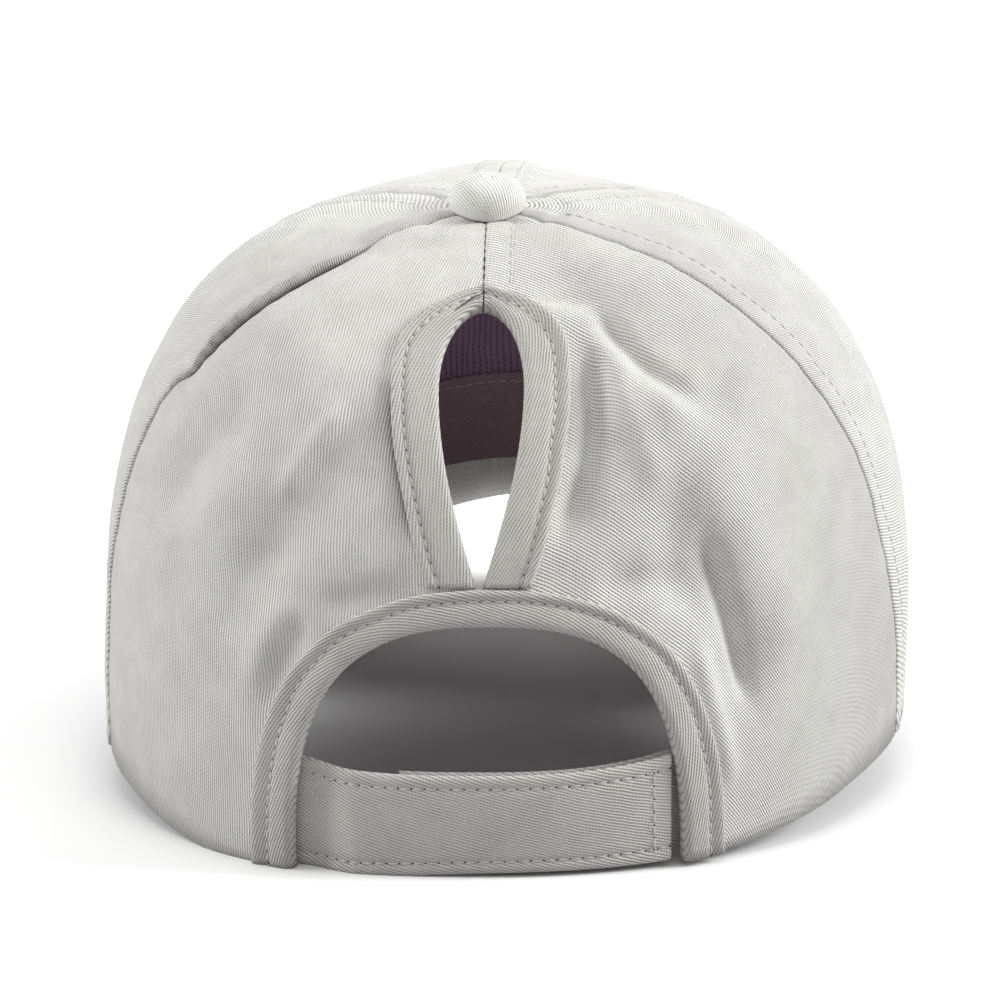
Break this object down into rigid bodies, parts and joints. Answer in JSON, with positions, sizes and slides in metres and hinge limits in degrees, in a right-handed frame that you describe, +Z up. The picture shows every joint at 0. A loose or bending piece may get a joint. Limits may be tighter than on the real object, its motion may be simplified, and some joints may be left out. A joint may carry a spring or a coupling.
{
  "type": "ponytail baseball cap",
  "caption": "Soft baseball cap with a curved brim, a teardrop slit at the back for a ponytail and an arched opening closed by a strap.",
  "frame": {"origin": "middle of the base of the whole cap, on the surface it rests on", "axes": "+Y towards the brim, +X towards the wearer's right, +Z up as the cap rests on its rear hem and brim"},
  "size_m": [0.175, 0.2622, 0.1335],
  "materials": {
    "crown_twill": "pale grey cotton twill",
    "tape_twill": "pale grey cotton twill, bias cut",
    "brim_twill": "pale beige cotton twill",
    "sweatband_cloth": "dark brown cotton twill",
    "lining_cloth": "dark purple open weave",
    "fastener": "dark nylon hook and loop"
  },
  "bodies": {
    "root": {"rear_left_panel": "crown_twill", "rear_right_panel": "crown_twill", "side_left_panel": "crown_twill", "side_right_panel": "crown_twill", "front_left_panel": "crown_twill", "front_right_panel": "crown_twill", "top_button": "crown_twill", "slit_binding_left": "tape_twill", "slit_binding_right": "tape_twill", "arch_binding": "tape_twill", "outer_strap": "tape_twill", "inner_strap": "tape_twill", "hook_patch": "fastener", "loop_patch": "fastener", "sweatband": "sweatband_cloth", "front_lining": "lining_cloth", "brim": "brim_twill"}
  },
  "joints": []
}
